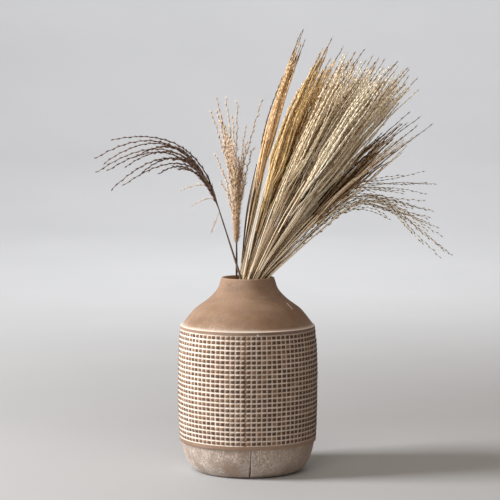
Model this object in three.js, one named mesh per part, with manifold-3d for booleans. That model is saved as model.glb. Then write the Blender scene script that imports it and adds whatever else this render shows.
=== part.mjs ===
// A round fired-clay vase with a raised band, filled with dried miscanthus grass.
// Units are millimetres. The vase stands on z = 0 with its axis on Z, and +X is to the right
// seen from the front, which faces -Y. The grass stems stand on the floor inside the vase,
// pass through its mouth and fan out above it.

import * as THREE from 'three';
import { mergeVertices } from 'three/addons/utils/BufferGeometryUtils.js';
import Module from 'manifold-3d';

const wasm = await Module();
wasm.setup();

// ---- driving dimensions of the vase ----
const VASE_HEIGHT = 300;
const FOOT_RADIUS = 77;           // flat underside that it stands on
const BAND_BOTTOM = 46.5;         // heights of the raised band's two edges
const BAND_TOP = 226;
const BAND_BOTTOM_RADIUS = 105.8;
const BAND_TOP_RADIUS = 104;
const BAND_PROUD = 2.4;           // how far the band stands out from the clay above and below
const BAND_BULGE = 110.2;         // control radius of the band's gentle bulge
const LIP_RADIUS = 41.5;
const MOUTH_RADIUS = 36;
const FLOOR_TOP = 12;             // top of the floor inside
const WALL = 7;
const VASE_SIDES = 48;

// ---- driving dimensions of the grass ----
const STEM_RADIUS = 1.4;
const STEM_SIDES = 5;
const STEM_GAP = 0.8;             // cut stem ends stay this far above the floor
const ROUTE_STEP = 4;
const TIP_RADIUS = 0.5;

// The bunch is a tight round bundle inside the vase, seven columns of stems side by side.
const SLOT_PITCH = 4.4;
const BUNDLE_LEAN = 9;            // degrees to the right of vertical
const BUNDLE_X_AT_MOUTH = 0.5;
const FAN_START = 210;            // along a stem from its cut end: it starts to leave the bundle
const FAN_END = 330;              // and here it has its own direction
const MOUTH_DISTANCE = 290;       // along a stem from its cut end to the mouth
const DEPTH_STEP = 3.7;           // degrees between neighbours from front to back

// The drooping stems from front to back: lean and bend in degrees, and length above the mouth.
const DROOPING = [
  { lean: 48, bend: 82, length: 352 },
  { lean: 46, bend: 64, length: 312 },
  { lean: 43, bend: 60, length: 312 },
  { lean: 41, bend: 48, length: 324 },
];
const DROOP_START = 0.42;         // along the part above the mouth, where it bends over
const DROOP_END = 0.76;

// One entry for each column from left to right: its lean and how much further it bends over
// by the tip, in degrees, how far the lean varies in it, and its length above the mouth.
const COLUMNS = [
  { kind: 'tan', stems: 4, lean: 8.5, vary: 1, bend: 13, length: 376 },
  { kind: 'ochre', stems: 5, lean: 15.5, vary: 2.2, bend: 11, length: 372 },
  { kind: 'straw', stems: 6, lean: 22, vary: 2.2, bend: 9, length: 380 },
  { kind: 'cream', stems: 7, lean: 27.2, vary: 2.5, bend: 7.5, length: 390 },
  { kind: 'straw', stems: 6, lean: 33, vary: 2.5, bend: 8, length: 392 },
  { kind: 'brown', stems: 5, lean: 38, vary: 3.2, bend: 13, length: 345 },
  { kind: 'drooping', stems: DROOPING.length },
];

const COLOURS = {
  clay: 0xa9805f,
  tan: 0xb08a5c,
  ochre: 0xc09a58,
  straw: 0xcdb58c,
  cream: 0xdccaa6,
  brown: 0x8f7252,
  drooping: 0xbfae8c,
  purple: 0x75605a,
  blush: 0xc8ab90,
};

function material(name) {
  const roughness = name === 'clay' ? 0.85 : 0.8;
  return new THREE.MeshStandardMaterial({ color: COLOURS[name], roughness, metalness: 0 });
}

// ---- the vase ----
function outerProfile() {
  const foot = new THREE.CubicBezierCurve(
    new THREE.Vector2(FOOT_RADIUS, 0),
    new THREE.Vector2(FOOT_RADIUS + 15, 1),
    new THREE.Vector2(BAND_BOTTOM_RADIUS - 5, 24),
    new THREE.Vector2(BAND_BOTTOM_RADIUS - BAND_PROUD, BAND_BOTTOM - 0.5),
  );
  const band = new THREE.CubicBezierCurve(
    new THREE.Vector2(BAND_BOTTOM_RADIUS, BAND_BOTTOM),
    new THREE.Vector2(BAND_BULGE - 0.5, BAND_BOTTOM + 50),
    new THREE.Vector2(BAND_BULGE, BAND_TOP - 36),
    new THREE.Vector2(BAND_TOP_RADIUS, BAND_TOP),
  );
  const shoulder = new THREE.SplineCurve([
    new THREE.Vector2(BAND_TOP_RADIUS - BAND_PROUD, BAND_TOP + 0.4),
    new THREE.Vector2(95, 235.5),
    new THREE.Vector2(82, 251),
    new THREE.Vector2(61.4, 266.4),
    new THREE.Vector2(47.5, 281.4),
    new THREE.Vector2(LIP_RADIUS, VASE_HEIGHT - 2.5),
  ]);
  return [...foot.getPoints(6), ...band.getPoints(8), ...shoulder.getPoints(10)];
}

function innerProfile() {
  const lip = new THREE.QuadraticBezierCurve(
    new THREE.Vector2(LIP_RADIUS - 1, VASE_HEIGHT - 0.6),
    new THREE.Vector2(MOUTH_RADIUS + 1, VASE_HEIGHT + 1.2),
    new THREE.Vector2(MOUTH_RADIUS, VASE_HEIGHT - 5),
  );
  const neck = new THREE.SplineCurve([
    new THREE.Vector2(MOUTH_RADIUS + 0.2, VASE_HEIGHT - 12),
    new THREE.Vector2(41, 278),
    new THREE.Vector2(56.5, 260.5),
    new THREE.Vector2(77, 245),
    new THREE.Vector2(90.5, 230),
    new THREE.Vector2(BAND_TOP_RADIUS - WALL, 212),
  ]);
  const corner = new THREE.QuadraticBezierCurve(
    new THREE.Vector2(BAND_BOTTOM_RADIUS - WALL - 1.5, BAND_BOTTOM + 8),
    new THREE.Vector2(BAND_BOTTOM_RADIUS - WALL - 4, FLOOR_TOP),
    new THREE.Vector2(FOOT_RADIUS - 12, FLOOR_TOP),
  );
  return [
    ...lip.getPoints(4),
    ...neck.getPoints(7),
    new THREE.Vector2(BAND_BULGE - WALL - 2, 140),
    ...corner.getPoints(5),
  ];
}

function vaseMesh() {
  const underside = new THREE.Vector2(0, 0);
  const floorCentre = new THREE.Vector2(0, FLOOR_TOP);
  const profile = [underside, ...outerProfile(), ...innerProfile(), floorCentre];
  const geometry = new THREE.LatheGeometry(profile, VASE_SIDES);
  geometry.rotateX(Math.PI / 2);
  const mesh = new THREE.Mesh(geometry, material('clay'));
  mesh.name = 'vase_body';
  return mesh;
}

// ---- grass stems in general ----
// The outline of a stem is a list of [distance from its cut end, radius]. It is turned into
// a straight round solid along Y first and then bent along the curve that the stem follows.
function bentStem(outline, curve, sides = STEM_SIDES) {
  const points = outline.map(([distance, radius]) => new THREE.Vector2(radius, distance));
  const geometry = new THREE.LatheGeometry(points, sides);
  const position = geometry.getAttribute('position');
  const length = outline[outline.length - 1][0];
  const across = new THREE.Vector3(0, 1, 0);
  for (let i = 0; i < position.count; i += 1) {
    const u = Math.min(1, Math.max(0, position.getY(i) / length));
    const tangent = curve.getTangentAt(u);
    const side = new THREE.Vector3().crossVectors(across, tangent).normalize();
    const front = new THREE.Vector3().crossVectors(side, tangent);
    const point = curve.getPointAt(u);
    point.addScaledVector(side, position.getX(i));
    point.addScaledVector(front, position.getZ(i));
    position.setXYZ(i, point.x, point.y, point.z);
  }
  return geometry;
}

// Lean is measured to the right of vertical and depth towards the back, both in degrees.
function direction(lean, depth) {
  const leanRadians = THREE.MathUtils.degToRad(lean);
  const back = Math.tan(THREE.MathUtils.degToRad(depth));
  return new THREE.Vector3(Math.sin(leanRadians), back, Math.cos(leanRadians)).normalize();
}

function fuse(geometries) {
  const solids = geometries.map((geometry) => {
    geometry.deleteAttribute('normal');
    geometry.deleteAttribute('uv');
    const merged = mergeVertices(geometry, 1e-4);
    return new wasm.Manifold(new wasm.Mesh({
      numProp: 3,
      vertProperties: new Float32Array(merged.getAttribute('position').array),
      triVerts: new Uint32Array(merged.getIndex().array),
    }));
  });
  // Branches that touch can close off a pocket between them: keeping the outer skin fills it.
  const skins = solids.reduce((whole, solid) => whole.add(solid)).decompose();
  skins.sort((first, second) => second.volume() - first.volume());
  const mesh = skins[0].getMesh();
  const geometry = new THREE.BufferGeometry();
  geometry.setAttribute('position', new THREE.BufferAttribute(mesh.vertProperties, 3));
  geometry.setIndex(new THREE.BufferAttribute(mesh.triVerts, 1));
  return geometry;
}

// ---- the bunch ----
// A number from -1 to 1 that differs from stem to stem, from the golden ratio.
function variation(index, salt) {
  const turn = (index + 1) * 0.6180339887 * (salt + 1);
  return 2 * (turn - Math.floor(turn)) - 1;
}

function bunchRoute(stem) {
  const axis = direction(BUNDLE_LEAN, 0);
  const cut = FLOOR_TOP + STEM_GAP;
  const back = (VASE_HEIGHT - cut) * Math.tan(THREE.MathUtils.degToRad(BUNDLE_LEAN));
  const point = new THREE.Vector3(BUNDLE_X_AT_MOUTH - back + stem.slotX, stem.slotY, cut);
  const points = [point.clone()];
  const total = MOUTH_DISTANCE + stem.length;
  const steps = Math.round(total / ROUTE_STEP);
  for (let i = 0; i < steps; i += 1) {
    const distance = ((i + 0.5) * total) / steps;
    const fan = THREE.MathUtils.smoothstep(distance, FAN_START, FAN_END);
    const above = Math.max(0, distance - MOUTH_DISTANCE) / stem.length;
    const bent = stem.droops
      ? THREE.MathUtils.smoothstep(above, DROOP_START, DROOP_END)
      : above ** 1.3;
    const lean = stem.lean + stem.bend * bent;
    const heading = axis.clone().lerp(direction(lean, stem.depth), fan).normalize();
    point.addScaledVector(heading, total / steps);
    points.push(point.clone());
  }
  return new THREE.CatmullRomCurve3(points);
}

function bunchStems() {
  const stems = [];
  const counts = {};
  COLUMNS.forEach((column, columnIndex) => {
    const slotX = (columnIndex - (COLUMNS.length - 1) / 2) * SLOT_PITCH * Math.sqrt(0.75);
    for (let row = 0; row < column.stems; row += 1) {
      const fromMiddle = row - (column.stems - 1) / 2;
      const index = stems.length;
      counts[column.kind] = (counts[column.kind] || 0) + 1;
      const droops = column.kind === 'drooping';
      stems.push({
        kind: column.kind,
        name: `${column.kind}_stem_${counts[column.kind]}`,
        droops,
        slotX,
        slotY: fromMiddle * SLOT_PITCH,
        lean: droops ? DROOPING[row].lean : column.lean + column.vary * variation(index, 0),
        depth: fromMiddle * DEPTH_STEP,
        bend: droops ? DROOPING[row].bend : column.bend + 1.5 * variation(index, 1),
        length: droops ? DROOPING[row].length : column.length * (1 + 0.05 * variation(index, 2)),
      });
    }
  });
  return stems;
}

// A dense plume is a slim spindle; a drooping one is airy and thinner.
function bunchOutline(stem) {
  const total = MOUTH_DISTANCE + stem.length;
  const plumeLength = stem.droops ? 215 : 205;
  const plumeRadius = stem.droops ? 3.4 : 6.5;
  const start = total - plumeLength;
  const straight = [0, FAN_START, 250, MOUTH_DISTANCE, FAN_END];
  const outline = [[0, 0], ...straight.map((distance) => [distance, STEM_RADIUS])];
  for (const [part, share] of [[0, 0.3], [0.14, 0.75], [0.35, 1], [0.6, 0.86], [0.82, 0.5]]) {
    outline.push([start + part * plumeLength, share * plumeRadius]);
  }
  outline.push([total - 4, TIP_RADIUS], [total, 0]);
  return outline;
}

function bunchMeshes() {
  return bunchStems().map((stem) => {
    const geometry = bentStem(bunchOutline(stem), bunchRoute(stem));
    const mesh = new THREE.Mesh(geometry, material(stem.kind));
    mesh.name = stem.name;
    return mesh;
  });
}

// ---- the two separate stems ----
// Each has a straight culm and a plume of thin branches. A branch is one bend from a point
// on the culm's line out to its own tip.
const CULM_RADIUS = 1.5;
const BRANCH_RADIUS = 1.5;

function branch(start, control, tip, rings) {
  const curve = new THREE.QuadraticBezierCurve3(start, control, tip);
  const length = curve.getLength();
  const outline = [[0, 0]];
  for (let i = 0; i <= rings; i += 1) {
    const part = i / (rings + 1);
    outline.push([part * length, BRANCH_RADIUS * (1 - 0.5 * part * part)]);
  }
  outline.push([length, 0]);
  return bentStem(outline, curve);
}

// The control point of a bend that passes through the given middle point.
function controlThrough(start, middle, tip) {
  return middle.clone().multiplyScalar(2).addScaledVector(start, -0.5).addScaledVector(tip, -0.5);
}

function culm(foot, top) {
  const line = new THREE.LineCurve3(foot, top);
  const length = line.getLength();
  const outline = [[0, 0], [0, CULM_RADIUS], [length - 1, CULM_RADIUS], [length, 0]];
  return bentStem(outline, line, 6);
}

// Leans to the left, crossing the mouth in front of the bunch, and arches over.
const ARCHING = {
  lean: -17.7,
  y: -22,
  mouthX: -10.4,
  foot: 22,                       // height of its cut end
  node: 418,                      // height where the plume starts
  // Each branch leaves the culm's line this far above the node. The last three hang down.
  branches: [
    { from: -2, middle: [-102, -26, 502], tip: [-205, -30, 513], rings: 8 },
    { from: -2, middle: [-123, -20, 506], tip: [-232, -18, 485], rings: 8 },
    { from: -4, middle: [-119, -29, 496], tip: [-229, -36, 464], rings: 8 },
    { from: -4, middle: [-116, -15, 490], tip: [-214, -8, 466], rings: 8 },
    { from: -6, middle: [-111, -25, 484], tip: [-207, -28, 438], rings: 8 },
    { from: -6, middle: [-98, -17, 475], tip: [-189, -12, 444], rings: 8 },
    { from: 22, middle: [-77, -23, 443], tip: [-101, -26, 436], rings: 2 },
    { from: 4, middle: [-64, -26, 422], tip: [-84, -30, 413], rings: 2 },
    { from: -16, middle: [-49, -24, 390], tip: [-56, -27, 372], rings: 2 },
  ],
};

function archingStem() {
  const along = direction(ARCHING.lean, 0);
  const at = (height) => new THREE.Vector3(
    ARCHING.mouthX + ((height - VASE_HEIGHT) * along.x) / along.z,
    ARCHING.y,
    height,
  );
  const pieces = [culm(at(ARCHING.foot), at(ARCHING.node + 28))];
  for (const { from, middle, tip, rings } of ARCHING.branches) {
    const start = at(ARCHING.node + from);
    const end = new THREE.Vector3(...tip);
    const control = controlThrough(start, new THREE.Vector3(...middle), end);
    pieces.push(branch(start, control, end, rings));
  }
  const mesh = new THREE.Mesh(fuse(pieces), material('purple'));
  mesh.name = 'arching_stem';
  return mesh;
}

// Stands upright behind the bunch's left side with an open, airy plume.
const UPRIGHT = {
  x: -17.5,
  y: 20,
  node: 342,                      // height where the plume starts
  // Each branch bends away from a control point this far up the culm's line.
  branches: [
    { reach: 110, tip: [-47, 26, 575] },
    { reach: 120, tip: [-34, 12, 574] },
    { reach: 120, tip: [-16, 30, 569] },
    { reach: 125, tip: [21, 22, 571] },
    { reach: 80, tip: [9, 16, 497] },
    { reach: 80, tip: [-50, 14, 487] },
    { reach: 110, tip: [-56, 36, 553] },
    { reach: 95, tip: [-4, 40, 530] },
  ],
};

function uprightStem() {
  const at = (height) => new THREE.Vector3(UPRIGHT.x, UPRIGHT.y, height);
  const node = at(UPRIGHT.node);
  const pieces = [culm(at(FLOOR_TOP + STEM_GAP), at(UPRIGHT.node + 90))];
  for (const { reach, tip } of UPRIGHT.branches) {
    pieces.push(branch(node, at(UPRIGHT.node + reach), new THREE.Vector3(...tip), 5));
  }
  const mesh = new THREE.Mesh(fuse(pieces), material('blush'));
  mesh.name = 'upright_stem';
  return mesh;
}

const vase = new THREE.Group();
vase.add(vaseMesh(), archingStem(), uprightStem(), ...bunchMeshes());

export default vase;
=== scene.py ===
"""Looks of a whitewashed clay vase with dried miscanthus grass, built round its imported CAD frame.

Everything is in metres in the CAD frame: +Z up, +X to the right, the front faces -Y.
"""

import math

import bpy
import numpy as np
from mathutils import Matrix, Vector


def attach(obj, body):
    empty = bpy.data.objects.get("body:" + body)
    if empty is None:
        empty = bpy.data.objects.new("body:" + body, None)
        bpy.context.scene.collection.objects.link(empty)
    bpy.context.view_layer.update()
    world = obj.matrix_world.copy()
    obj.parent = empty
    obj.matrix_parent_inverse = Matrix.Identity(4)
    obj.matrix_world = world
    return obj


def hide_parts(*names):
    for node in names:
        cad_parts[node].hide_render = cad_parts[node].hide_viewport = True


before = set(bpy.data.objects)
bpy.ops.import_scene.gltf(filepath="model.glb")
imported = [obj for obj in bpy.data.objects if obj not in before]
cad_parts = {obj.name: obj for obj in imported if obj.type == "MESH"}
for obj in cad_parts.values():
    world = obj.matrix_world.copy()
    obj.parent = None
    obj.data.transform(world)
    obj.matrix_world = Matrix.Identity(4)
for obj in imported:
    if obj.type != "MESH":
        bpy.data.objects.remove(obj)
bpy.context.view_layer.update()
MM = 0.001


# ---- meshes
class Shape:
    """Points and faces gathered part by part; each part has a tone per point and one material slot."""

    def __init__(self):
        self.points = []
        self.tones = []
        self.faces = []
        self.count = 0

    def add(self, points, faces, tone=0.5, slot=0):
        """faces is a list of arrays with one face in each row, counted from the part's first point."""
        points = np.asarray(points, float).reshape(-1, 3)
        self.points.append(points)
        self.tones.append(np.broadcast_to(tone, len(points)).astype(float))
        for rows in faces:
            self.faces.append((np.asarray(rows) + self.count, slot))
        self.count += len(points)

    def build(self, name, materials):
        """The piece made of all parts, linked to the scene."""
        mesh = bpy.data.meshes.new(name)
        points = np.concatenate(self.points)
        mesh.vertices.add(len(points))
        mesh.vertices.foreach_set("co", points.astype(np.float32).ravel())
        corners = np.concatenate([rows.ravel() for rows, _ in self.faces])
        sizes = np.concatenate([np.full(len(rows), rows.shape[1]) for rows, _ in self.faces])
        slots = np.concatenate([np.full(len(rows), slot) for rows, slot in self.faces])
        mesh.loops.add(len(corners))
        mesh.loops.foreach_set("vertex_index", corners.astype(np.int32))
        mesh.polygons.add(len(sizes))
        starts = np.concatenate([[0], np.cumsum(sizes)[:-1]])
        mesh.polygons.foreach_set("loop_start", starts.astype(np.int32))
        mesh.polygons.foreach_set("material_index", slots.astype(np.int32))
        mesh.update(calc_edges=True)
        mesh.polygons.foreach_set("use_smooth", np.ones(len(sizes), bool))
        tone = mesh.attributes.new("tone", "FLOAT", "POINT")
        tone.data.foreach_set("value", np.concatenate(self.tones).astype(np.float32))
        for material in materials:
            mesh.materials.append(material)
        piece = bpy.data.objects.new(name, mesh)
        bpy.context.scene.collection.objects.link(piece)
        return piece


def unit(vectors):
    return vectors / np.maximum(np.linalg.norm(vectors, axis=-1, keepdims=True), 1e-12)


def directions_round(paths):
    """Tangent and two directions across it at every point of paths, shaped (n, k, 3)."""
    tangent = unit(np.gradient(paths, axis=1))
    side = unit(np.cross(np.array([0.05, 1.0, 0.02]), tangent))
    return tangent, side, np.cross(tangent, side)


def add_tubes(shape, paths, radii, sides, tone=0.5, slot=0):
    """Closed tubes along paths (n, k, 3); radii is (n, k) and tone (n, k) or one number."""
    n, k = paths.shape[:2]
    _, side, front = directions_round(paths)
    angle = np.arange(sides) * 2 * np.pi / sides
    spokes = np.cos(angle)[:, None] * side[:, :, None] + np.sin(angle)[:, None] * front[:, :, None]
    points = paths[:, :, None] + radii[:, :, None, None] * spokes
    start = (np.arange(n)[:, None] * k + np.arange(k - 1)) * sides
    here = start[:, :, None] + np.arange(sides)
    following = start[:, :, None] + (np.arange(sides) + 1) % sides
    walls = np.stack([here, following, following + sides, here + sides], -1).reshape(-1, 4)
    first = (np.arange(n) * k * sides)[:, None] + np.arange(sides)[::-1]
    last = (np.arange(n) * k * sides)[:, None] + (k - 1) * sides + np.arange(sides)
    tones = np.broadcast_to(np.asarray(tone), (n, k))
    shape.add(points, [walls, first, last], np.repeat(tones.ravel(), sides), slot)


def add_slivers(shape, base, tip, width, tone, belly=0.35):
    """Slim three-sided spindles from base to tip (n, 3), widest at the share belly of their length."""
    along = tip - base
    across = unit(np.cross(along, np.array([0.31, 0.87, 0.38])))
    third = unit(np.cross(along, across))
    middle = base + belly * along
    turns = 0.4 + np.arange(3) * 2 * np.pi / 3
    ring = [middle + 0.5 * width * (math.cos(turn) * across + math.sin(turn) * third) for turn in turns]
    points = np.stack([base, *ring, tip], 1)
    corner = (np.arange(len(base)) * 5)[:, None]
    triangles = ((0, 2, 1), (0, 3, 2), (0, 1, 3), (1, 2, 4), (2, 3, 4), (3, 1, 4))
    faces = np.concatenate([corner + np.array(triangle) for triangle in triangles])
    tones = np.repeat(np.broadcast_to(tone, len(base)), 5)
    shape.add(points, [faces], tones)


def ease(value, low, high):
    """0 below low, 1 above high, and a smooth step in between."""
    t = np.clip((value - low) / (high - low), 0, 1)
    return t * t * (3 - 2 * t)


# ---- materials
def new_material(name):
    material = bpy.data.materials.new(name)
    material.use_nodes = True
    tree = material.node_tree
    return material, tree, tree.nodes["Principled BSDF"]


def node(tree, kind, **inputs):
    """A shader node with its inputs set or linked; names starting with set_ are properties."""
    made = tree.nodes.new(kind)
    for key, value in inputs.items():
        if key.startswith("set_"):
            setattr(made, key[4:], value)
    for key, value in inputs.items():
        if key.startswith("set_"):
            continue
        socket = made.inputs[int(key[1:])] if key[0] == "i" and key[1:].isdigit() else made.inputs[key]
        if isinstance(value, bpy.types.NodeSocket):
            tree.links.new(value, socket)
        else:
            socket.default_value = value
    return made


def mix(tree, factor, first, second):
    """From the first colour at factor 0 to the second at 1."""
    return node(tree, "ShaderNodeMix", set_data_type="RGBA", i0=factor, i6=first, i7=second).outputs[2]


def maths(tree, operation, first, second=0.0, clamp=False):
    made = node(tree, "ShaderNodeMath", set_operation=operation, set_use_clamp=clamp, i0=first, i1=second)
    return made.outputs[0]


def times(tree, first, second, clamp=False):
    return maths(tree, "MULTIPLY", first, second, clamp)


def plus(tree, first, second):
    return maths(tree, "ADD", first, second)


def minus(tree, first, second):
    return maths(tree, "SUBTRACT", first, second)


def ramp(tree, value, low, high):
    """0 where value is low or less, 1 where it is high or more, straight in between."""
    return node(tree, "ShaderNodeMapRange", i0=value, i1=low, i2=high, i3=0.0, i4=1.0).outputs[0]


def noise(tree, scale, stretch=(1, 1, 1), detail=4.0, rough=0.55):
    """Noise fixed to the piece; scale is about how many grains there are to the metre."""
    place = node(tree, "ShaderNodeTexCoord").outputs["Object"]
    mapped = node(tree, "ShaderNodeMapping", Vector=place, Scale=stretch).outputs[0]
    made = node(tree, "ShaderNodeTexNoise", Vector=mapped, Scale=scale, Detail=detail, Roughness=rough)
    return made.outputs[0]


def attribute(tree, name):
    return node(tree, "ShaderNodeAttribute", set_attribute_name=name).outputs["Fac"]


CLAY = (0.290, 0.158, 0.080, 1)
CLAY_PALE = (0.375, 0.230, 0.137, 1)
CLAY_DARK = (0.190, 0.100, 0.053, 1)
CLAY_BURNT_AND_SHADE = (0.075, 0.038, 0.020, 1)
CLAY_PINK = (0.42, 0.265, 0.205, 1)
WASH = (0.90, 0.80, 0.715, 1)
WASH_GREY = (0.33, 0.285, 0.255, 1)
CRACK = (0.030, 0.018, 0.012, 1)


def near_line(tree, upper, lower, half_width, wobble):
    """1 on a straight mark on the front of the vase, fading to 0 at its edges.

    The mark runs from upper to lower, both (x, z). All sizes are in millimetres.
    """
    (x0, z0), (x1, z1) = np.array([upper, lower]) * MM
    end_fade = 0.5 * MM
    place = node(tree, "ShaderNodeTexCoord").outputs["Object"]
    x, y, z = node(tree, "ShaderNodeSeparateXYZ", Vector=place).outputs
    slope = (x1 - x0) / (z1 - z0)
    straight = plus(tree, times(tree, minus(tree, z, z0), slope), x0)
    ragged = times(tree, minus(tree, noise(tree, 320, detail=3), 0.5), wobble * MM)
    off = plus(tree, minus(tree, x, straight), ragged)
    close = ramp(tree, maths(tree, "ABSOLUTE", off), half_width * MM, 0.3 * half_width * MM)
    above = ramp(tree, z, z1 - end_fade, z1 + end_fade)
    below = ramp(tree, z, z0 + end_fade, z0 - end_fade)
    front = ramp(tree, y, 0.0, -1 * MM)
    return times(tree, close, times(tree, times(tree, above, below), front))


def bare_clay(tree, cloud, speckle, grain, patch):
    """Colour of the fired clay with no wash on it, from pale and pink to dark, the darkest partly
    fire-darkened clay and partly painted shade.
    """
    blotch = noise(tree, 11, stretch=(1, 1, 1.6), detail=4, rough=0.6)
    swirl = noise(tree, 20, stretch=(1, 1, 2.8), detail=5, rough=0.6)
    colour = mix(tree, ramp(tree, blotch, 0.36, 0.62), CLAY, CLAY_PALE)
    colour = mix(tree, times(tree, ramp(tree, swirl, 0.48, 0.75), 0.6), colour, CLAY_DARK)
    colour = mix(tree, times(tree, ramp(tree, patch, 0.55, 0.7), 0.4), colour, CLAY_PINK)
    uneven_fire = plus(tree, ramp(tree, cloud, 0.15, 0.8), 0.5)
    # How dark the clay is: fire-darkened clay, and painted shade on the right and inside.
    scorched_and_shade = times(tree, attribute(tree, "burnt_and_shade"), uneven_fire, clamp=True)
    colour = mix(tree, scorched_and_shade, colour, CLAY_BURNT_AND_SHADE)
    colour = mix(tree, times(tree, ramp(tree, grain, 0.58, 0.72), 0.55), colour, CLAY_BURNT_AND_SHADE)
    dust = times(tree, ramp(tree, speckle, 0.58, 0.78), ramp(tree, cloud, 0.42, 0.65))
    return mix(tree, times(tree, dust, 0.5), colour, WASH_GREY)


def clay_material():
    """Fired clay with whitewash.

    The vase's points carry tone, how much wash lies in a hollow, with less towards the right of the relief
    as painted shade;
    burnt, how dark the clay is, raised on the right and inside as painted shade;
    and haze, how much of the thin brushed wash there is, raised on the left as a painted highlight.
    """
    material, tree, shader = new_material("clay")
    cloud = noise(tree, 48, detail=5, rough=0.6)
    speckle = noise(tree, 260, detail=4, rough=0.7)
    grain = noise(tree, 620, detail=4, rough=0.7)
    brush = noise(tree, 380, stretch=(1.4, 1.4, 0.6), detail=6, rough=0.7)
    cover = noise(tree, 26, stretch=(1, 1, 0.8), detail=4, rough=0.6)
    patch = noise(tree, 22, detail=3)
    bare = bare_clay(tree, cloud, speckle, grain, patch)

    patchy = plus(tree, times(tree, cloud, 0.9), times(tree, speckle, 0.7))
    strong = times(tree, attribute(tree, "tone"), plus(tree, patchy, 0.25), clamp=True)
    pinkish = times(tree, ramp(tree, patch, 0.35, 0.75), 0.25)
    colour = mix(tree, strong, bare, mix(tree, pinkish, WASH, CLAY_PINK))

    # The brushed haze is stronger on the left of the vase, where it is a painted highlight.
    streak_and_highlight = times(tree, attribute(tree, "haze_and_highlight"), ramp(tree, brush, 0.26, 0.62), clamp=True)
    streak_and_highlight = times(tree, streak_and_highlight, ramp(tree, cover, 0.26, 0.5), clamp=True)
    thick = times(tree, ramp(tree, brush, 0.38, 0.64), ramp(tree, cover, 0.34, 0.62))
    colour = mix(tree, streak_and_highlight, colour, mix(tree, thick, WASH_GREY, WASH))

    crack_edge = near_line(tree, (6.8, 46), (5.3, 3), half_width=0.9, wobble=1.0)
    colour = mix(tree, times(tree, crack_edge, 0.55), colour, WASH)
    fine_crack = near_line(tree, (5.2, 46), (3.9, 21), half_width=0.8, wobble=0.8)
    wide_crack = near_line(tree, (3.9, 21), (3.0, 3), half_width=1.4, wobble=1.2)
    crack = maths(tree, "MAXIMUM", times(tree, fine_crack, 0.85), wide_crack)
    colour = mix(tree, crack, colour, CRACK)
    blob = near_line(tree, (14.4, 222.5), (16.0, 219), half_width=1.8, wobble=1.2)
    colour = mix(tree, times(tree, blob, 0.85), colour, WASH)
    scratch = near_line(tree, (60, 262.5), (68.5, 254), half_width=0.95, wobble=0.7)
    colour = mix(tree, scratch, colour, WASH)

    rough = plus(tree, times(tree, cloud, 0.25), 0.6)
    height = plus(tree, times(tree, grain, 0.5), times(tree, speckle, 0.8))
    height = plus(tree, height, times(tree, streak_and_highlight, 0.35))
    height = minus(tree, height, times(tree, crack, 2.0))
    bump = node(tree, "ShaderNodeBump", Strength=0.7, Distance=0.6 * MM, Height=height).outputs[0]
    tree.links.new(colour, shader.inputs["Base Color"])
    tree.links.new(rough, shader.inputs["Roughness"])
    tree.links.new(bump, shader.inputs["Normal"])
    shader.inputs["Specular IOR Level"].default_value = 0.3
    return material


def grass_material(name, dark, middle, light):
    """Dried grass: a straw or hair is dark, middle or light by its tone, with a little chance."""
    material, tree, shader = new_material(name)
    own = node(tree, "ShaderNodeNewGeometry").outputs["Random Per Island"]
    fibre = noise(tree, 260, stretch=(1, 1, 0.3), detail=4)
    shade = plus(tree, times(tree, own, 0.10), times(tree, attribute(tree, "tone"), 0.95))
    shade = plus(tree, shade, times(tree, fibre, 0.35))
    colour = mix(tree, ramp(tree, shade, 0.15, 0.6), (*dark, 1), (*middle, 1))
    colour = mix(tree, ramp(tree, shade, 0.6, 1.0), colour, (*light, 1))
    rough = plus(tree, times(tree, fibre, 0.3), 0.36)
    bump = node(tree, "ShaderNodeBump", Strength=0.4, Distance=0.3 * MM, Height=fibre).outputs[0]
    tree.links.new(colour, shader.inputs["Base Color"])
    tree.links.new(rough, shader.inputs["Roughness"])
    tree.links.new(bump, shader.inputs["Normal"])
    shader.inputs["Specular IOR Level"].default_value = 0.1
    return material


# ---- the vase
# Outlines are (radius, height) in millimetres, turned into metres by bezier and through.
UNDERSIDE = [(25, 0), (60, 0)]
FOOT_CURVE = [(77, 0), (92, 1), (100.8, 24), (103.4, 46)]
BAND_CURVE = [(105.8, 46.5), (109.7, 96.5), (110.2, 190), (104, 226)]
SHOULDER_POINTS = [(101.6, 226.4), (95, 235.5), (82, 251), (61.4, 266.4), (47.5, 281.4), (41.5, 297.5)]
LIP_CURVE = [(41.4, 298.3), (40.6, 301.0), (37, 300.6), (36.2, 296.5)]
NECK_INSIDE = [(36.2, 288), (41, 278), (56.5, 260.5), (77, 245), (90.5, 230), (97, 212)]
WALL_INSIDE = [(101, 170), (101.2, 120)]
FLOOR_CORNER = [(97.3, 54.5), (94.8, 12), (65, 12)]
FLOOR_INSIDE = [(30, 12)]
FLOOR_TOP = 12 * MM
BAND_BOTTOM = 46.5 * MM
BAND_MEAN_RADIUS = 108.5 * MM
LOWER_MARGIN = np.array([47.1, 48.6, 50.6, 52.4]) * MM
UPPER_MARGIN = np.array([221.4, 222.4, 223.6, 224.8]) * MM
LEDGE = 226.4 * MM
GRID_BOTTOM = 53.5 * MM
GRID_TOP = 220.3 * MM
GRID_COLUMNS = 84
GRID_ROWS = 23
GRID_TURN = math.radians(-1.6)      # the join, in the groove nearest the front
JOIN_DEPTH = 0.5 * MM
RELIEF = 1.15 * MM
COLUMN_LINES = np.array([0.0, 0.08, 0.15, 0.5, 0.85, 0.92])    # across one cell, from groove to groove
ROW_LINES = np.array([0.0, 0.11, 0.19, 0.5, 0.81, 0.89])       # up one cell
LINE_HEIGHTS = np.array([0.0, 0.04, 0.92, 1.06, 0.92, 0.04])   # 0 in the groove, about 1 on the square
FINE = GRID_COLUMNS * len(COLUMN_LINES)     # points round the relief
COARSE = FINE // 2                          # points round the rest


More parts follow.
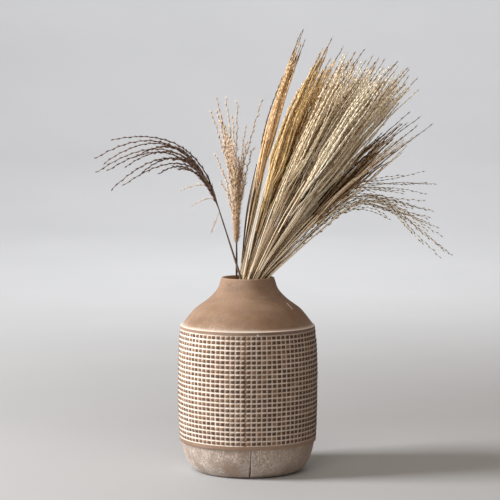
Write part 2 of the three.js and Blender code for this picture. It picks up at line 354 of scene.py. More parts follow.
def bezier(points, count):
    """Points on a quadratic or cubic Bezier curve."""
    t = np.linspace(0, 1, count + 1)[:, None]
    p = np.array(points) * MM
    if len(p) == 3:
        return (1 - t) ** 2 * p[0] + 2 * t * (1 - t) * p[1] + t ** 2 * p[2]
    return (1 - t) ** 3 * p[0] + 3 * t * (1 - t) ** 2 * p[1] + 3 * t ** 2 * (1 - t) * p[2] + t ** 3 * p[3]


def through(points, count):
    """Points on a smooth curve through the given ones (Catmull-Rom)."""
    p = np.array(points) * MM
    ends = np.concatenate([[2 * p[0] - p[1]], p, [2 * p[-1] - p[-2]]])
    u = np.linspace(0, len(p) - 1, count + 1)
    i = np.minimum(u.astype(int), len(p) - 2)
    t = (u - i)[:, None]
    a, b, c, d = ends[i], ends[i + 1], ends[i + 2], ends[i + 3]
    square_part = 2 * a - 5 * b + 4 * c - d
    cube_part = 3 * b - a - 3 * c + d
    return 0.5 * (2 * b + (c - a) * t + square_part * t ** 2 + cube_part * t ** 3)


def band_radius(z):
    """Radius of the raised band at height z."""
    curve = bezier(BAND_CURVE, 80)
    return np.interp(z, curve[:, 1], curve[:, 0])


def waves(rng, lines, along, length):
    """A small smooth wander for each line: lines is how many, along is (k,) or (lines, k)."""
    total = 0
    for wave in (1.0, 0.37, 0.15):
        phase = rng.uniform(0, 2 * np.pi, (lines, 1))
        size = rng.uniform(0.3, 1.0, (lines, 1)) * wave ** 0.5
        total = total + size * np.sin(2 * np.pi * along / (length * wave) + phase)
    return total


def around(turn, radius, z):
    """Points at the given turns from the front, counted towards the right."""
    return np.stack(np.broadcast_arrays(radius * np.sin(turn), -radius * np.cos(turn), z), -1)


def grid_rings(rng):
    """The relief as rings: raised squares, dark on top, between grooves that hold the wash; both are
    painted darker towards the right as shade.
    """
    lines = len(ROW_LINES)
    column = np.repeat(np.arange(GRID_COLUMNS), lines)
    column_line = np.tile(np.arange(lines), GRID_COLUMNS)
    row = np.append(np.repeat(np.arange(GRID_ROWS), lines), GRID_ROWS)
    row_line = np.append(np.tile(np.arange(lines), GRID_ROWS), 0)
    pitch = (GRID_TOP - GRID_BOTTOM) / GRID_ROWS
    true_z = GRID_BOTTOM + (row + ROW_LINES[row_line]) * pitch
    true_turn = GRID_TURN + (column + COLUMN_LINES[column_line]) * 2 * np.pi / GRID_COLUMNS
    column_wander = waves(rng, GRID_COLUMNS, true_z[None], 0.11).T * 0.22 * MM / BAND_MEAN_RADIUS
    turn = true_turn[None] + column_wander[:, column]
    row_wander = waves(rng, GRID_ROWS + 1, true_turn[None], 1.9) * 0.16 * MM
    z = true_z[:, None] + row_wander[row]

    fullness = np.clip(rng.normal(0.95, 0.12, (GRID_ROWS + 1, GRID_COLUMNS)), 0.5, 1.2)
    worn = rng.random(fullness.shape) < 0.05
    fullness[worn] *= 0.55
    scorch = np.clip(rng.normal(0.85, 0.22, fullness.shape), 0.2, 1.2)
    across = LINE_HEIGHTS[column_line][None]
    up = LINE_HEIGHTS[row_line][:, None]
    square = across * up
    corner = (across < 1) & (across > 0.5) & (up < 1) & (up > 0.5)
    square = np.where(corner, 0.8 * square, square)
    radius = band_radius(z) - RELIEF * (1 - square * fullness[row][:, column])

    to_right = np.sin(turn)
    upright_groove = (up > 0.5) & (across < 0.5)
    wash = np.clip(1.1 - 2.0 * square, 0.03, 1) * rng.uniform(0.6, 1.25, square.shape)
    # Less wash towards the right: painted shade, as the light comes from the left.
    wash *= (0.86 - 0.42 * to_right) * np.where(upright_groove, 0.82, 1.05)
    beside_join = (column == GRID_COLUMNS - 1) & (column_line >= 4) | (column == 0) & (column_line <= 1)
    wash[:, beside_join] *= np.where(rng.random((len(true_z), 1)) < 0.75, 0.15, 0.8)
    radius[:, (column == 0) & (column_line == 0)] -= JOIN_DEPTH
    # Darker squares towards the right: painted shade.
    burnt_and_shade = np.clip(square, 0, 1) * scorch[row][:, column] * (1.05 + 0.35 * to_right)
    haze_and_highlight = np.zeros_like(wash)
    return list(zip(around(turn, radius, z), wash, burnt_and_shade, haze_and_highlight))


def plain_ring(radius, z, tone, burnt_and_shade, haze_and_highlight, columns=COARSE):
    """A level ring; tone, burnt and haze are one number or one for each point."""
    turn = GRID_TURN + np.arange(columns) * 2 * np.pi / columns
    full = np.ones(columns)
    return around(turn, radius, z), tone * full, burnt_and_shade * full, haze_and_highlight * full


def band_ring(z, tone, burnt_and_shade, haze_and_highlight, columns=COARSE):
    """A level ring of the raised band."""
    return plain_ring(band_radius(z), z, tone, burnt_and_shade, haze_and_highlight, columns)


def foot_rings(to_left):
    """The underside and the whitewashed foot, with thick wash in the corner under the band, and a paler
    haze on the left that is a painted highlight.
    """
    rings = []
    for r, z in [*(np.array(UNDERSIDE) * MM), *bezier(FOOT_CURVE, 14)]:
        level = np.clip(z / BAND_BOTTOM, 0, 1)
        # More haze on the left: a painted highlight.
        rings.append(plain_ring(r, z, tone=0.2 - 0.1 * level, burnt_and_shade=0.25, haze_and_highlight=0.6 + 0.8 * to_left))
    rings.append(plain_ring(103.9 * MM, 46.45 * MM, tone=1.0, burnt_and_shade=0, haze_and_highlight=0.6))
    rings.append(plain_ring(105.2 * MM, 46.6 * MM, tone=0.5, burnt_and_shade=0.3, haze_and_highlight=0))
    return rings


def band_rings(rng, to_left):
    """The raised band: a plain margin, the relief, another margin and the ledge on top."""
    rings = [band_ring(z, tone=0.06, burnt_and_shade=0.3, haze_and_highlight=0.1) for z in LOWER_MARGIN]
    rings.append(band_ring(52.9 * MM, tone=0.25, burnt_and_shade=0.7, haze_and_highlight=0, columns=FINE))
    rings.extend(grid_rings(rng))
    above_relief = band_radius(220.8 * MM)
    rings.append(plain_ring(above_relief, 220.9 * MM, tone=0.35, burnt_and_shade=0.6, haze_and_highlight=0, columns=FINE))
    # The upper margin is darker towards the right: painted shade.
    rings.extend(band_ring(z, tone=0.07, burnt_and_shade=0.75 - 0.5 * to_left, haze_and_highlight=0.15) for z in UPPER_MARGIN)
    rings.append(plain_ring(104.2 * MM, 225.5 * MM, tone=0.5, burnt_and_shade=0.2, haze_and_highlight=0))
    rings.append(plain_ring(103.7 * MM, 226.2 * MM, tone=1.5, burnt_and_shade=0, haze_and_highlight=0))
    rings.append(plain_ring(102.2 * MM, 226.6 * MM, tone=1.5, burnt_and_shade=0, haze_and_highlight=0.2))
    return rings


def shoulder_rings(to_left):
    """The shoulder, the neck and the lip, with wash that gathers low down, and a paler haze on the left
    that is a painted highlight.
    """
    rings = []
    for r, z in through(SHOULDER_POINTS, 44):
        near_ledge = 1 - ease(z, LEDGE, LEDGE + 10.6 * MM)
        # More haze on the left near the ledge: a painted highlight.
        dust_and_highlight = 0.12 + near_ledge * (0.15 + 0.4 * to_left ** 2)
        rings.append(plain_ring(r, z, tone=0.03 + 0.5 * near_ledge ** 12, burnt_and_shade=0.27, haze_and_highlight=dust_and_highlight))
    rings.extend(plain_ring(r, z, tone=0.05, burnt_and_shade=0.2, haze_and_highlight=0.1) for r, z in bezier(LIP_CURVE, 8))
    return rings


def inside_rings():
    """The inside, from the neck down the wall and in over the floor, bare clay painted dark all over as
    shade.
    """
    wall, floor = np.array(WALL_INSIDE) * MM, np.array(FLOOR_INSIDE) * MM
    outline = [*through(NECK_INSIDE, 14), *wall, *bezier(FLOOR_CORNER, 8), *floor]
    return [plain_ring(r, z, tone=0, burnt_and_shade=1.2, haze_and_highlight=0) for r, z in outline]


def vase_rings(rng):
    """Every ring of the vase from the underside up, over the lip and down inside."""
    turn = GRID_TURN + np.arange(COARSE) * 2 * np.pi / COARSE
    # to_left is 1 on the left, where the light falls, and 0 on the right; it paints a highlight on the
    # left and shade on the right.
    to_left = 0.5 - 0.5 * np.sin(turn + 0.35)
    return [*foot_rings(to_left), *band_rings(rng, to_left), *shoulder_rings(to_left), *inside_rings()]


def uneven(points):
    """Slow hand-made unevenness of the clay, a fraction of a millimetre; the underside stays flat."""
    x, y, z = points.T
    swell = np.sin(41 * x + 23 * z + 1.3) * np.cos(37 * y - 29 * z + 0.4)
    swell += 0.6 * np.sin(97 * x - 61 * y + 53 * z)
    reach = np.maximum(np.hypot(x, y), 1e-6)
    amount = 0.22 * MM * swell * ease(reach, 30 * MM, 60 * MM) * ease(z, 2 * MM, 12 * MM)
    return points + np.stack([x / reach * amount, y / reach * amount, np.zeros_like(z)], -1)


def join_rings(counts):
    """Faces between rings of the given sizes, where neighbours are equal or differ two to one."""
    quads, fives = [], []
    start = 0
    for low, high in zip(counts[:-1], counts[1:]):
        above = start + low
        i = np.arange(min(low, high))
        j = (i + 1) % len(i)
        k = (2 * i + 2) % max(low, high)
        if low == high:
            quads.append(np.stack([start + i, start + j, above + j, above + i], -1))
        elif high > low:
            fives.append(np.stack([start + i, start + j, above + k, above + 2 * i + 1, above + 2 * i], -1))
        else:
            fives.append(np.stack([start + 2 * i, start + 2 * i + 1, start + k, above + j, above + i], -1))
        start = above
    return np.concatenate(quads), np.concatenate(fives), start


def make_vase():
    """The vase as one closed piece, with tone, burnt and haze on its points."""
    rings = vase_rings(np.random.default_rng(7))
    points, tone, burnt_and_shade, haze_and_highlight = (np.concatenate(values) for values in zip(*rings))
    quads, fives, top_ring = join_rings([len(ring[0]) for ring in rings])
    centre_below = len(points)
    centre_inside = centre_below + 1
    points = np.concatenate([uneven(points), [(0, 0, 0), (0, 0, FLOOR_TOP)]])
    i = np.arange(COARSE)
    j = (i + 1) % COARSE
    underside = np.stack([np.full(COARSE, centre_below), j, i], -1)
    floor = np.stack([np.full(COARSE, centre_inside), top_ring + i, top_ring + j], -1)
    shape = Shape()
    shape.add(points, [quads, fives, underside, floor], np.append(tone, [0.3, 0]))
    piece = shape.build("vase_clay", [clay_material()])
    for name, values in (("burnt_and_shade", burnt_and_shade), ("haze_and_highlight", haze_and_highlight)):
        layer = piece.data.attributes.new(name, "FLOAT", "POINT")
        layer.data.foreach_set("value", np.append(values, [0, 0]).astype(np.float32))
    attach(piece, "vase")
    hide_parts("vase_body")


# ---- routes of the grass stems
# These follow the CAD source, so that each stem's grass lies in its own solid's place.
STEM_GAP = 0.8 * MM             # from the floor inside up to the cut ends
VASE_HEIGHT = 300 * MM
ROUTE_STEP = 4 * MM
SLOT_PITCH = 4.4 * MM
BUNDLE_LEAN = 9                 # degrees, inside the vase
BUNDLE_X_AT_MOUTH = 0.5 * MM
FAN_START = 210 * MM            # distances along a stem from its cut end
FAN_END = 330 * MM
MOUTH_DISTANCE = 290 * MM
DEPTH_STEP = 3.7                # degrees from one row of stems to the next, front to back
DROOP_START = 0.42              # shares of a stem's length above the mouth
DROOP_END = 0.76
GOLDEN_RATIO = 0.6180339887
GOLDEN_ANGLE = 2.39996
DROOPING = [
    {"lean": 48, "bend": 82, "length": 352},
    {"lean": 46, "bend": 64, "length": 312},
    {"lean": 43, "bend": 60, "length": 312},
    {"lean": 41, "bend": 48, "length": 324},
]
BUNCH_COLUMNS = [
    {"kind": "tan", "stems": 4, "lean": 8.5, "vary": 1, "bend": 13, "length": 376},
    {"kind": "ochre", "stems": 5, "lean": 15.5, "vary": 2.2, "bend": 11, "length": 372},
    {"kind": "straw", "stems": 6, "lean": 22, "vary": 2.2, "bend": 9, "length": 380},
    {"kind": "cream", "stems": 7, "lean": 27.2, "vary": 2.5, "bend": 7.5, "length": 390},
    {"kind": "straw", "stems": 6, "lean": 33, "vary": 2.5, "bend": 8, "length": 392},
    {"kind": "brown", "stems": 5, "lean": 38, "vary": 3.2, "bend": 13, "length": 345},
    {"kind": "drooping", "stems": 4},
]


def heading(lean, depth):
    """Direction that leans this far to the right of vertical and back, both in degrees."""
    lean, depth = np.radians(lean), np.radians(depth)
    vector = np.stack(np.broadcast_arrays(np.sin(lean), np.tan(depth), np.cos(lean)), -1)
    return unit(vector)


def variation(index, salt):
    """A number from -1 to 1 that differs from stem to stem, as in the CAD source."""
    turn = (index + 1) * GOLDEN_RATIO * (salt + 1)
    return 2 * (turn - math.floor(turn)) - 1


class Route:
    """The line a stem follows, as points at equal steps from its cut end."""

    def __init__(self, points):
        self.points = np.asarray(points)
        step = np.linalg.norm(np.diff(self.points, axis=0), axis=1)
        self.distance = np.concatenate([[0], np.cumsum(step)])
        self.length = self.distance[-1]

    def at(self, distance):
        """Points at the given distances; past the tip the line goes straight on."""
        distance = np.asarray(distance, float)
        inside = np.clip(distance, 0, self.length)
        found = np.stack([np.interp(inside, self.distance, self.points[:, axis]) for axis in range(3)], -1)
        onward = unit(self.points[-1] - self.points[-2])
        return found + np.maximum(distance - self.length, 0)[..., None] * onward

    def axes(self, distance):
        """The direction of the route and two directions across it."""
        ahead = unit(self.at(distance + 2 * MM) - self.at(distance - 2 * MM))
        side = unit(np.cross(np.array([0.0, 1.0, 0.0]), ahead))
        return ahead, side, np.cross(ahead, side)


def bunch_route(slot_x, from_middle, lean, bend, length, droops):
    """A stem that runs with the bundle to the mouth, fans out there and then bends over."""
    foot_z = FLOOR_TOP + STEM_GAP
    back = (VASE_HEIGHT - foot_z) * math.tan(math.radians(BUNDLE_LEAN))
    start = [BUNDLE_X_AT_MOUTH - back + slot_x, from_middle * SLOT_PITCH, foot_z]
    total = MOUTH_DISTANCE + length
    steps = round(total / ROUTE_STEP)
    distance = (np.arange(steps) + 0.5) * total / steps
    fan = ease(distance, FAN_START, FAN_END)[:, None]
    above = np.maximum(0, distance - MOUTH_DISTANCE) / length
    bent = ease(above, DROOP_START, DROOP_END) if droops else above ** 1.3
    own = heading(lean + bend * bent, from_middle * DEPTH_STEP)
    along = unit(heading(BUNDLE_LEAN, 0) * (1 - fan) + own * fan)
    return Route(np.concatenate([[start], start + np.cumsum(along * total / steps, axis=0)]))


def bunch_stems():
    """Name, kind and Route of every stem of the bunch, as the CAD source lays them out."""
    stems = []
    counts = {}
    for column_index, column in enumerate(BUNCH_COLUMNS):
        slot_x = (column_index - (len(BUNCH_COLUMNS) - 1) / 2) * SLOT_PITCH * math.sqrt(0.75)
        for row in range(column["stems"]):
            from_middle = row - (column["stems"] - 1) / 2
            index = len(stems)
            kind = column["kind"]
            counts[kind] = counts.get(kind, 0) + 1
            droops = kind == "drooping"
            if droops:
                lean, bend, length = (DROOPING[row][key] for key in ("lean", "bend", "length"))
            else:
                lean = column["lean"] + column["vary"] * variation(index, 0)
                bend = column["bend"] + 1.5 * variation(index, 1)
                length = column["length"] * (1 + 0.05 * variation(index, 2))
            stems.append({
                "name": f"{kind}_stem_{counts[kind]}",
                "kind": kind,
                "droops": droops,
                "index": index,
                "route": bunch_route(slot_x, from_middle, lean, bend, length * MM, droops),
            })
    return stems


# ---- parts of a grass stem
CULM_SLOT = 1       # material slot of culms and straws; the plume's own material is slot 0


def light_or_dark(rng, count, dark_share):
    """A tone for each of count straws or branches: some are dark, partly their own colour and partly
    painted shade for the gaps between straws; the others pale.
    """
    pale = rng.uniform(0.7, 1.08, (count, 1))
    return np.where(rng.random((count, 1)) < dark_share, rng.uniform(-0.1, 0.22, (count, 1)), pale)


def add_culm(shape, route, end, rng, radius, dark=0.45):
    """The straw: a stalk with swollen nodes and dry leaf sheaths between them."""
    nodes = np.cumsum(rng.uniform(0.085, 0.125, 6)) - 30 * MM
    stations = np.linspace(0, end, 90)
    extra = np.concatenate([nodes - 1.5 * MM, nodes, nodes + 1.5 * MM])
    stations = np.sort(np.concatenate([stations, extra[(extra > 0) & (extra < end)]]))
    sheath = np.zeros_like(stations)
    swelling = np.zeros_like(stations)
    for place in nodes:
        swelling += 0.35 * MM * np.exp(-((stations - place) / (1.6 * MM)) ** 2)
        length = rng.uniform(0.05, 0.09)
        inside = (stations > place + 1 * MM) & (stations < place + length)
        sheath[inside] = 0.25 * MM * (1 - 0.5 * (stations[inside] - place) / length)
    thin = 1 - 0.6 * ease(stations, MOUTH_DISTANCE, end)
    radii = (radius * thin + (swelling + sheath) * thin)[None]
    tone = light_or_dark(rng, 1, dark) - 0.1 + 0.2 * (sheath > 0) + 0.08 * np.sin(stations * 90)
    add_tubes(shape, route.at(stations)[None], radii, 8, tone, CULM_SLOT)


def add_straws(shape, route, count, end, rng):
    """Thin straws and rolled leaves that leave the mouth beside the culm and rise into the plume."""
    foot = MOUTH_DISTANCE - 40 * MM
    top = end * rng.uniform(0.84, 1.0, (count, 1))
    stations = foot + (top - foot) * np.linspace(0, 1, 30)
    above = stations - MOUTH_DISTANCE
    spread = ease(above, -20 * MM, 130 * MM)
    sideways = rng.uniform(-1, 1, (count, 1)) * 7.5 * MM * spread
    back = rng.uniform(-1, 1, (count, 1)) * 5 * MM * spread
    sideways = sideways + rng.uniform(-1, 1, (count, 1)) * 1.0 * MM
    bow = 1.2 * MM * np.sin(above * rng.uniform(8, 20, (count, 1)) + rng.uniform(0, 6, (count, 1)))
    _, side, front = route.axes(stations)
    paths = route.at(stations) + (sideways + bow)[..., None] * side + back[..., None] * front
    radii = rng.uniform(0.7, 1.2, (count, 1)) * MM * (1 - 0.4 * ease(stations, MOUTH_DISTANCE, end))
    # Most of these straws are dark: painted shade for the dark gaps at the mouth.
    tone = np.broadcast_to(light_or_dark(rng, count, 0.6), radii.shape)
    add_tubes(shape, paths, radii, 5, tone, CULM_SLOT)


def brush_of_racemes(route, start, length, look, rng):
    """Paths (count, k, 3) of the slim branches, or racemes, that lie together in a closed plume.

    The first one is the leader, which ends in the plume's point.
    """
    count = look["racemes"]
    t = np.linspace(0, 1, 26)
    first = rng.uniform(0, 0.36, count)
    last = rng.uniform(look["shortest"], look["longest"], count)
    from_axis = np.sqrt(rng.uniform(0.02, 1.0, (count, 1)))
    last[0] = 1.0
    from_axis[0] = 0.1
    u = first[:, None] + (last - first)[:, None] * t
    turn = (np.arange(count) * GOLDEN_ANGLE + rng.uniform(-0.4, 0.4, count))[:, None]
    turn = turn + rng.uniform(-0.5, 0.5, (count, 1)) * t
    closing = 1 - look["closing"] * ease(u, 0.5, 1.0)
    out = from_axis * look["radius"] * MM * ease(u, -0.1, 0.5) * ease(t, -0.1, 0.3) * closing
    out = out + look["flare"] * MM * rng.uniform(0.0, 1.0, (count, 1)) * t ** 3
    distance = start + u * length
    _, side, front = route.axes(distance)
    phase = rng.uniform(0, 6, (count, 1))
    sway = look["sway"] * MM * np.sin(t * rng.uniform(5, 10, (count, 1)) + phase) * t
    sideways = np.cos(turn) * out + sway
    forward = np.sin(turn) * out
    return route.at(distance) + sideways[..., None] * side + forward[..., None] * front


def add_branches(shape, paths, thick, thin, tone, sides=4):
    """Tubes along paths that taper from the radius thick to thin, in millimetres."""
    taper = np.linspace(thick, thin, paths.shape[1]) * MM
    add_tubes(shape, paths, np.broadcast_to(taper, paths.shape[:2]), sides, tone)


def along_paths(paths, t):
    """Points and directions at shares t (m,) of every path; paths is (n, k, 3)."""
    place = t * (paths.shape[1] - 1)
    low = np.minimum(place.astype(int), paths.shape[1] - 2)
    part = (place - low)[None, :, None]
    points = paths[:, low] * (1 - part) + paths[:, low + 1] * part
    tangent, side, front = directions_round(paths)
    return points, tangent[:, low], side[:, low], front[:, low]


def add_spikelets(shape, paths, spacing, rng, look, tone, toward=None):
    """Spikelets in turn on both sides of every branch, each with a few fine hairs at its foot.

    look has its sizes in millimetres. With toward, the spikelets lean that way.
    """
    length = np.linalg.norm(np.diff(paths, axis=1), axis=2).sum(1).mean()
    count = max(4, int(length / spacing))
    t = np.linspace(look.get("from", 0.05), 0.995, count)
    points, tangent, side, front = along_paths(paths, t)
    n, m = points.shape[:2]
    turn = rng.uniform(0, 2 * np.pi, (n, 1)) + np.arange(m) * np.pi + rng.normal(0, 0.35, (n, m))
    outward = np.cos(turn)[..., None] * side + np.sin(turn)[..., None] * front
    if toward is not None:
        outward = unit(outward + np.asarray(toward))
    fade = (1 - 0.42 * t)[None, :, None]
    for pair in range(look.get("pairs", 2)):
        if pair:
            outward = unit(np.cross(tangent, outward) + 0.5 * outward)
        lean = np.abs(rng.normal(look["spread"], look["spread"] * 0.35, (n, m)))[..., None]
        direction = unit(tangent + lean * outward)
        base = points + outward * 0.3 * MM
        size = look["size"] * MM * rng.uniform(0.75, 1.2, (n, m))[..., None] * fade
        own = tone + rng.normal(0, 0.05, (n, m)) - look.get("dark_foot", 0) * (1 - ease(t, 0, 0.45))
        add_slivers(shape, base.reshape(-1, 3), (base + direction * size).reshape(-1, 3),
                    look["width"] * MM, own.ravel())
        for _ in range(look["hairs"]):
            hair = unit(direction + rng.normal(0, look["stray"], (n, m, 3)))
            hair = hair * look["hair"] * MM * rng.uniform(0.6, 1.25, (n, m))[..., None] * fade
            root = base + direction * size * 0.2
            pale = 0.45 * own.ravel() + look["hair_tone"] + rng.normal(0, 0.08, n * m)
            add_slivers(shape, root.reshape(-1, 3), (root + hair).reshape(-1, 3),
                        look["hair_width"] * MM, pale, belly=0.25)


CLOSED_SPIKELETS = {
    "size": 11, "width": 1.6, "spread": 0.06, "hairs": 1, "hair": 12, "hair_width": 0.6, "stray": 0.07,
    "hair_tone": 0.5,
}
SOFT_SPIKELETS = {**CLOSED_SPIKELETS, "width": 1.9, "hair_width": 0.8, "stray": 0.09, "hair_tone": 0.7}
SILKY_SPIKELETS = {**CLOSED_SPIKELETS, "hairs": 2, "hair": 16, "stray": 0.04, "hair_tone": 0.42}
OPEN_SPIKELETS = {
    "size": 9.5, "width": 1.7, "spread": 0.26, "hairs": 2, "hair": 8.0, "hair_width": 0.45, "stray": 0.3,
    "hair_tone": 0.8, "pairs": 1,
}
PLUMES = {
    "tan": {
        "spikelets": CLOSED_SPIKELETS, "radius": 8, "length": 305, "racemes": 13, "shortest": 0.75,
        "longest": 0.94, "closing": 0.85, "flare": 0, "sway": 0.6, "dark": 0.35,
    },
    "ochre": {
        "spikelets": SILKY_SPIKELETS, "radius": 15, "length": 300, "racemes": 18, "shortest": 0.7,
        "longest": 0.95, "closing": 0.75, "flare": 0, "sway": 1.5, "dark": 0.2,
    },
    "straw": {
        "spikelets": SOFT_SPIKELETS, "radius": 15, "length": 310, "racemes": 15, "shortest": 0.78,
        "longest": 0.97, "closing": 0.2, "flare": 2, "sway": 2.5, "dark": 0.2,
    },
    "cream": {
        "spikelets": SOFT_SPIKELETS, "radius": 16, "length": 315, "racemes": 16, "shortest": 0.78,
        "longest": 0.97, "closing": 0.15, "flare": 3, "sway": 2.5, "dark": 0.15,
    },
    # The brown plumes stand at the right of the bunch; their many dark racemes are partly their own brown
    # and partly painted shade, as the light comes from the left.
    "brown": {
        "spikelets": CLOSED_SPIKELETS, "radius": 14, "length": 285, "racemes": 14, "shortest": 0.62,
        "longest": 0.9, "closing": 0.35, "flare": 3, "sway": 2.0, "dark": 0.5,
    },
}


def make_dense_stem(stem, culm_material, plume_material):
    """A stem with a closed, brush-like plume."""
    rng = np.random.default_rng(100 + stem["index"])
    route = stem["route"]
    look = PLUMES[stem["kind"]]
    length = look["length"] * MM * rng.uniform(0.95, 1.0)
    start = route.length - length
    shape = Shape()
    add_culm(shape, route, start + 0.6 * length, rng, radius=1.5 * MM)
    add_straws(shape, route, 5, start + 0.5 * length, rng)
    paths = brush_of_racemes(route, start, length, look, rng)
    own = light_or_dark(rng, len(paths), look["dark"])
    own[0] = 0.05
    add_branches(shape, paths, 1.45, 0.45, own, sides=3)
    add_spikelets(shape, paths, 8.0 * MM, rng, look["spikelets"], own)
    finish_stem(shape, stem, plume_material, culm_material, "grass_bunch")


def make_drooping_stem(stem, culm_material, plume_material):
    """A stem with an open plume whose branches hang over to one side."""
    rng = np.random.default_rng(100 + stem["index"])
    route = stem["route"]
    length = 245 * MM
    start = route.length - length
    shape = Shape()
    add_culm(shape, route, start + 0.35 * length, rng, radius=1.4 * MM, dark=0.0)
    add_straws(shape, route, 2, start + 0.1 * length, rng)
    count = 9
    t = np.linspace(0, 1, 24)
    first = np.linspace(0, 0.6, count)
    last = np.minimum(first + rng.uniform(0.5, 0.62, count), 1.0)
    last[-2:] = (0.97, 1.03)
    distance = start + (first[:, None] + (last - first)[:, None] * t) * length
    _, side, front = route.axes(distance)
    swing = rng.uniform(-1, 1, (count, 1)) * 16 * MM * t ** 1.5
    fan = np.where(np.arange(count) % 2, 1.0, -1.0) * rng.uniform(0.35, 1.0, count)
    lift = fan[:, None] * 17 * MM * t ** 1.4
    lift[-2:] = 0
    sway = 1.5 * MM * np.sin(7 * t + rng.uniform(0, 6, (count, 1)))
    paths = route.at(distance) - (lift + sway)[..., None] * side + swing[..., None] * front
    add_branches(shape, paths, 0.6, 0.3, 0.75, sides=3)
    own = rng.uniform(-0.1, 0.12, (count, 1))
    add_spikelets(shape, paths, 7.5 * MM, rng, OPEN_SPIKELETS, own, toward=(0, 0, -0.4))
    finish_stem(shape, stem, plume_material, culm_material, "grass_bunch")


def finish_stem(shape, stem, plume_material, culm_material, body):
    """Builds the stem's piece, which takes the place of its CAD solid and moves with body."""
    piece = shape.build(stem["name"] + "_grass", [plume_material, culm_material])
    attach(piece, body)
    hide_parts(stem["name"])


# ---- the two separate stems
def control_through(start, middle, tip):
    """The control point of a bend that passes through the given middle point."""
    return 2 * np.array(middle) * MM - 0.5 * start - 0.5 * np.array(tip) * MM


def curved(start, control, tip, count, rng, zigzag):
    """A branch of count points that bends once from start (m) to its tip (mm), slightly zigzag."""
    t = np.linspace(0, 1, count)[:, None]
    path = (1 - t) ** 2 * start + 2 * t * (1 - t) * control + t ** 2 * np.array(tip) * MM
    kink = np.where(np.arange(count) % 2, 1.0, -1.0)[:, None] * zigzag
    path = path + kink * unit(rng.normal(0, 1, 3)) * ease(t, 0, 0.15)
    return path


# Sizes and places in millimetres; node is the height at which the branches begin.
ARCHING = {
    "lean": -17.7, "y": -22, "mouth_x": -10.4, "foot": 22, "node": 418,
    # Where each branch begins, from the node; a point halfway along it; its tip.
    "branches": [
        (-2, (-102, -26, 502), (-205, -30, 513)),
        (-2, (-123, -20, 506), (-232, -18, 485)),
        (-4, (-119, -29, 496), (-229, -36, 464)),
        (-4, (-116, -15, 490), (-214, -8, 466)),
        (-6, (-111, -25, 484), (-207, -28, 438)),
        (-6, (-98, -17, 475), (-189, -12, 444)),
        (-3, (-118, -24, 503), (-218, -26, 478)),
        (-5, (-104, -19, 490), (-186, -18, 472)),
        (-8, (-96, -22, 480), (-160, -24, 464)),
        (-4, (-100, -26, 494), (-168, -28, 488)),
        (-9, (-86, -18, 466), (-134, -20, 462)),
        (-2, (-84, -25, 482), (-122, -26, 503)),
        (-6, (-80, -19, 470), (-112, -18, 482)),
        (-8, (-74, -24, 456), (-104, -25, 468)),
        (-3, (-92, -27, 490), (-144, -26, 499)),
    ],
    "loose": [
        (22, (-77, -23, 443), (-101, -26, 436)),
        (4, (-64, -26, 422), (-84, -30, 413)),
        (-16, (-49, -24, 390), (-56, -27, 372)),
    ],
}
ARCHING_SPIKELETS = {
    "size": 9.5, "width": 1.9, "spread": 0.19, "hairs": 3, "hair": 8.5, "hair_width": 0.8, "stray": 0.18,
    "hair_tone": 0.33,
}
UPRIGHT = {
    "x": -17.5, "y": 20, "node": 342,
    # Where each branch begins, from the node; how far it runs straight up from there; its tip.
    "branches": [
        (0, 110, (-47, 26, 575)),
        (0, 120, (-34, 12, 574)),
        (0, 120, (-16, 30, 569)),
        (0, 125, (21, 22, 571)),
        (0, 80, (9, 16, 497)),
        (0, 80, (-50, 14, 487)),
        (0, 110, (-56, 36, 553)),
        (0, 95, (-4, 40, 530)),
        (6, 70, (-36, 8, 500)),
        (8, 80, (-2, 10, 505)),
        (4, 60, (-8, 34, 478)),
        (4, 60, (-32, 34, 480)),
        (14, 90, (-24, 22, 545)),
        (10, 60, (-18, 6, 460)),
        (10, 60, (-12, 16, 440)),
        (6, 80, (-28, 16, 530)),
        (4, 50, (-22, 26, 432)),
    ],
    "inner_count": 18, "inner_lowest": 445, "inner_rise": 115, "inner_x": -22, "inner_spread": (30, 16),
}
UPRIGHT_SPIKELETS = {
    "size": 8.5, "width": 1.4, "spread": 0.22, "hairs": 4, "hair": 11.0, "hair_width": 0.7, "stray": 0.22,
    "hair_tone": 0.56, "dark_foot": 0.9,
}


def arching_branches(at, key, count, rng):
    """The branches listed under key, each with count points."""
    paths = []
    for above, middle, tip in ARCHING[key]:
        start = at(ARCHING["node"] + above)
        paths.append(curved(start, control_through(start, middle, tip), tip, count, rng, 0.3 * MM))
    return np.stack(paths)


def make_arching_stem(culm_material, plume_material, pale_material):
    """The dark stem that leans left, its long hanging branches and a few pale loose ones."""
    rng = np.random.default_rng(51)
    along = heading(ARCHING["lean"], 0)

    def at(height):
        shift = (height - VASE_HEIGHT / MM) * along[0] / along[2]
        return np.array([ARCHING["mouth_x"] + shift, ARCHING["y"], height]) * MM

    shape = Shape()
    route = Route([at(ARCHING["foot"]), at(ARCHING["node"] + 40)])
    add_culm(shape, route, route.length, rng, radius=1.5 * MM)
    paths = arching_branches(at, "branches", 40, rng)
    add_branches(shape, paths, 1.0, 0.5, 0.3)
    own = rng.uniform(-0.1, 0.15, (len(paths), 1))
    add_spikelets(shape, paths, 6.5 * MM, rng, ARCHING_SPIKELETS, own)
    loose = arching_branches(at, "loose", 14, rng)
    pale = Shape()
    add_branches(pale, loose, 0.5, 0.2, 0.5)
    add_spikelets(pale, loose, 5 * MM, rng, {**OPEN_SPIKELETS, "from": 0.35}, 0.6)
    twigs = pale.build("arching_stem_loose_branches", [pale_material])
    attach(twigs, "arching_stem")
    stem = {"name": "arching_stem", "kind": "purple"}
    finish_stem(shape, stem, plume_material, culm_material, "arching_stem")


